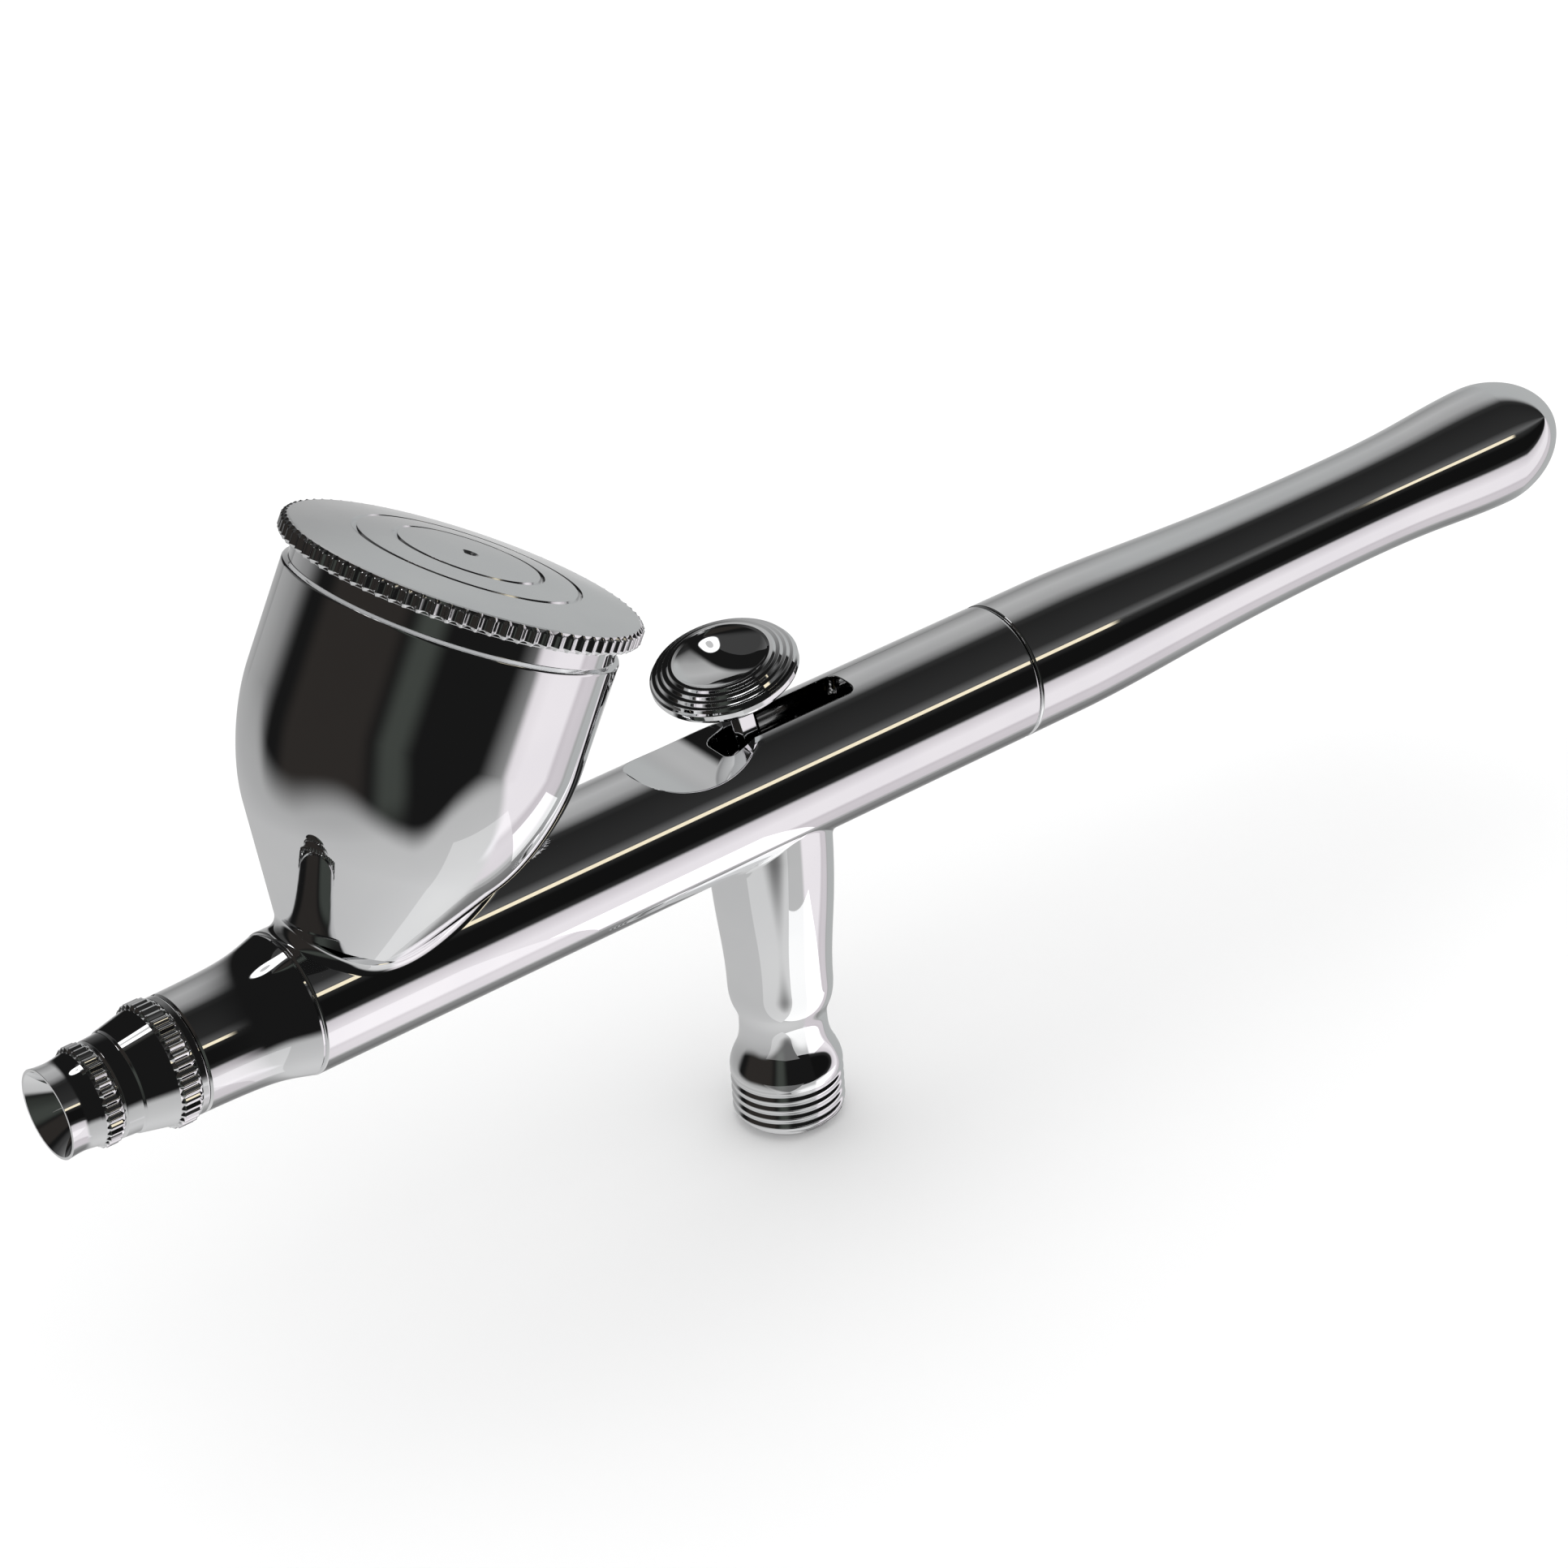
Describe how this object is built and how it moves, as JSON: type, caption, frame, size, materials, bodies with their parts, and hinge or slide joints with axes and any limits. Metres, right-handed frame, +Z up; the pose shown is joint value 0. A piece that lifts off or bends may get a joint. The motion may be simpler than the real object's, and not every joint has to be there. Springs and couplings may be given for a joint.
{
  "type": "airbrush gun",
  "caption": "Double-action gravity-feed airbrush: slim body and handle, tilted paint cup with knurled lid, round finger lever on top, air valve with threaded inlet below.",
  "frame": {"origin": "middle of the air inlet's outside thread, on the valve's axis", "axes": "+Z up from the inlet to the body, +X along the gun toward the handle, so the nozzle points along -X"},
  "size_m": [0.1593, 0.029, 0.0705],
  "materials": {
    "chrome": "mirror",
    "satin_chrome": "satin, fine turning marks",
    "steel": "polished",
    "spring_steel": "bright drawn wire",
    "brass": "turned",
    "white_plastic": "matte",
    "black_rubber": "matte"
  },
  "bodies": {
    "gun": {"needle_cap": "chrome", "nozzle_cap": "chrome", "fluid_nozzle": "brass", "head_base": "chrome", "head_seal": "white_plastic", "body": "chrome", "needle_packing": "white_plastic", "needle_packing_screw": "brass", "paint_cup": "chrome", "rocker_pin": "steel", "needle_spring": "spring_steel", "spring_case": "brass", "handle": "chrome", "valve_casing": "chrome", "piston_packing": "black_rubber", "valve_seat": "black_rubber", "valve_spring": "spring_steel", "valve_guide_screw": "brass"},
    "lid": {"cup_lid": "satin_chrome"},
    "piston": {"valve_piston": "brass", "valve_plunger": "brass"},
    "lever": {"main_lever": "chrome", "trigger_button": "chrome"},
    "rocker": {"auxiliary_lever": "steel"},
    "needle_set": {"needle": "steel", "needle_tube": "steel", "needle_chucking_nut": "brass"}
  },
  "joints": [
    {"name": "air_press", "type": "slide", "parent": "gun", "child": "piston", "axis": [0, 0, -1], "range_m": [0, 0.0013], "stiffness_N_per_m": 800, "springref_m": -0.002, "deforming": ["valve_spring"]},
    {"name": "trigger_pull", "type": "hinge", "parent": "piston", "child": "lever", "pos_m": [0, 0, 0.0269], "axis": [0, 1, 0], "range_deg": [0, 30], "stiffness_Nm_per_rad": 0.03, "springref_deg": -11.46},
    {"name": "rocker_turn", "type": "hinge", "parent": "gun", "child": "rocker", "pos_m": [0.0037, 0, 0.0261], "axis": [0, 1, 0], "range_deg": [0, 28.6]},
    {"name": "needle_draw", "type": "slide", "parent": "gun", "child": "needle_set", "axis": [1, 0, 0], "range_m": [0, 0.00221], "deforming": ["needle_spring"]},
    {"name": "lid_lift", "type": "slide", "parent": "gun", "child": "lid", "axis": [0.4825, 0, 0.8759], "range_m": [0, 0.018]}
  ],
  "couplings": [
    {"joint": "rocker_turn", "follows": "trigger_pull", "ratio": 0.95},
    {"joint": "needle_draw", "follows": "trigger_pull", "m_per_rad": 0.0042}
  ]
}
